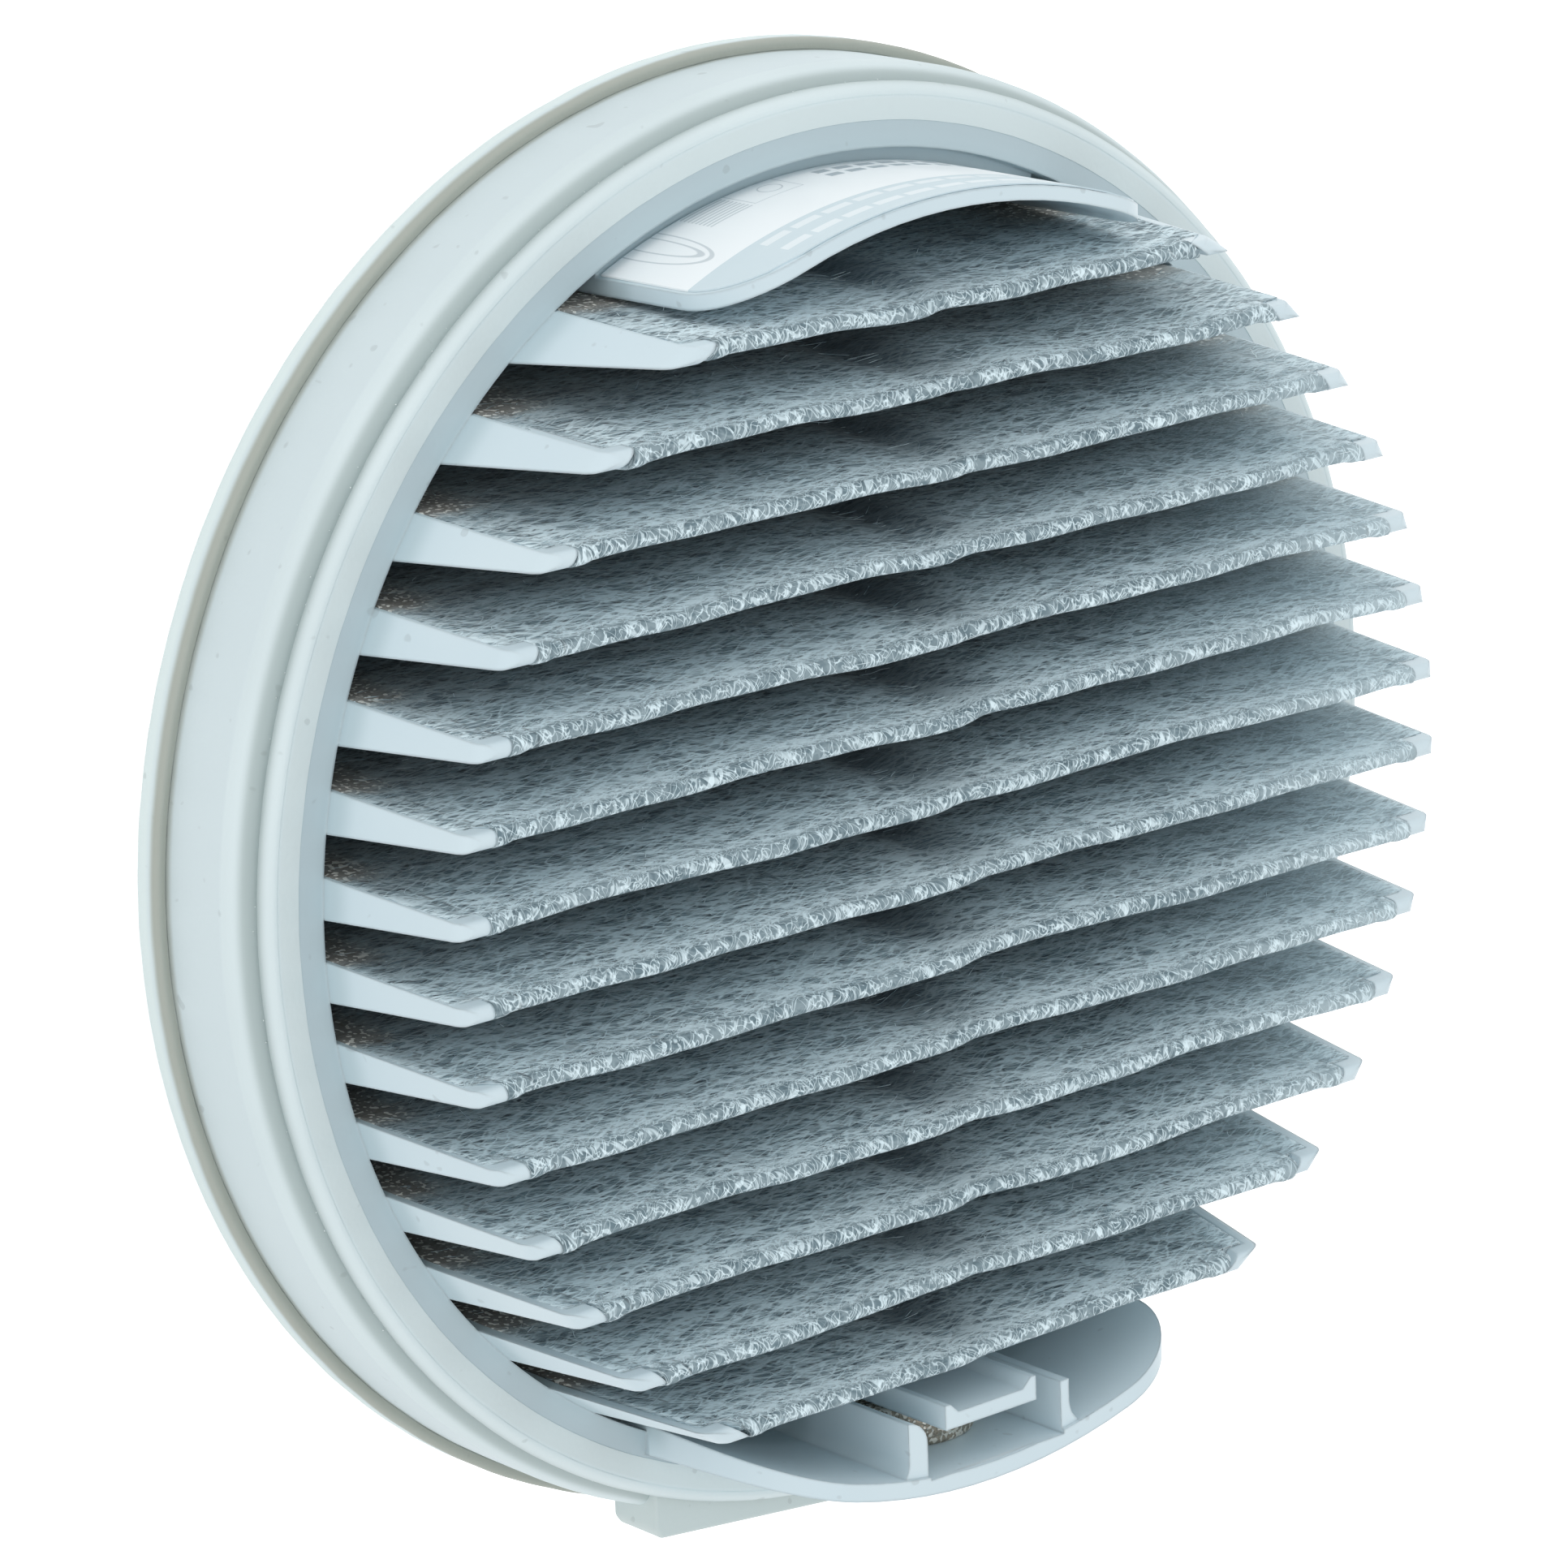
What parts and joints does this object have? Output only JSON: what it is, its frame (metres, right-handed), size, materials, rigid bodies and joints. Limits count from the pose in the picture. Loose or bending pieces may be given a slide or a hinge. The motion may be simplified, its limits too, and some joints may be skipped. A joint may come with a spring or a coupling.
{
  "type": "vacuum cleaner filter",
  "caption": "Round pleated filter for a handheld vacuum cleaner: a sealed plastic ring with tapered ribs holding folded media, a label tab, a guard and a magnet.",
  "frame": {"origin": "on the axis of the ring, in the plane that the rear seal lies in", "axes": "+Z along the filter axis towards the pleat tips, +Y towards the tab, +X along the pleats"},
  "size_m": [0.11, 0.11, 0.0265],
  "materials": {
    "frame_plastic": "satin pale blue-grey moulding",
    "filter_media": "grey non-woven fibre sheet",
    "seal_rubber": "matt light warm-grey soft moulding",
    "label_film": "satin white film with a grey band",
    "magnet_nickel": "speckled nickel plating"
  },
  "bodies": {
    "root": {"filter_frame": "frame_plastic", "pleated_media": "filter_media", "rear_seal": "seal_rubber", "collar_seal": "seal_rubber", "instruction_label": "label_film", "magnet": "magnet_nickel"}
  },
  "joints": []
}
